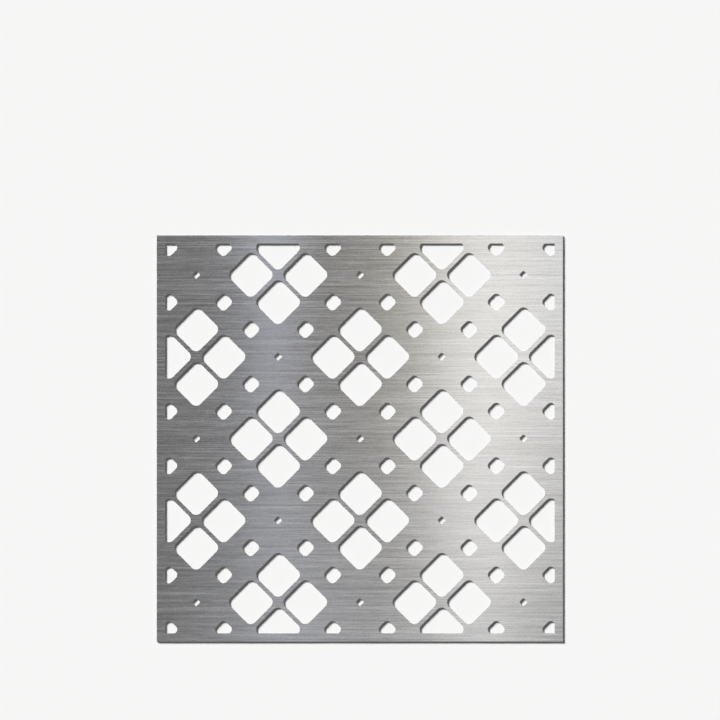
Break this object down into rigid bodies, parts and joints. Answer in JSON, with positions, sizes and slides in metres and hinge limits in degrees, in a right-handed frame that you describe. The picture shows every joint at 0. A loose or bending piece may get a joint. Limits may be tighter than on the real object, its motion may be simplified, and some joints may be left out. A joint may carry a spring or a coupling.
{
  "type": "perforated steel plate",
  "caption": "Flat square brushed steel plate cut through by rounded diamond holes of mixed sizes in a checker pattern inside a plain border, for screens, infills and cladding.",
  "frame": {"origin": "middle of the plate's underside, inside the small hole at its centre", "axes": "+Z out of the brushed face, through the thickness; +X along the brushed grain, the picture's right; +Y the picture's up"},
  "size_m": [1, 1, 0.003],
  "materials": {
    "brushed_steel": "satin, brushed in one direction along X"
  },
  "bodies": {
    "root": {"checker_plate": "brushed_steel"}
  },
  "joints": []
}
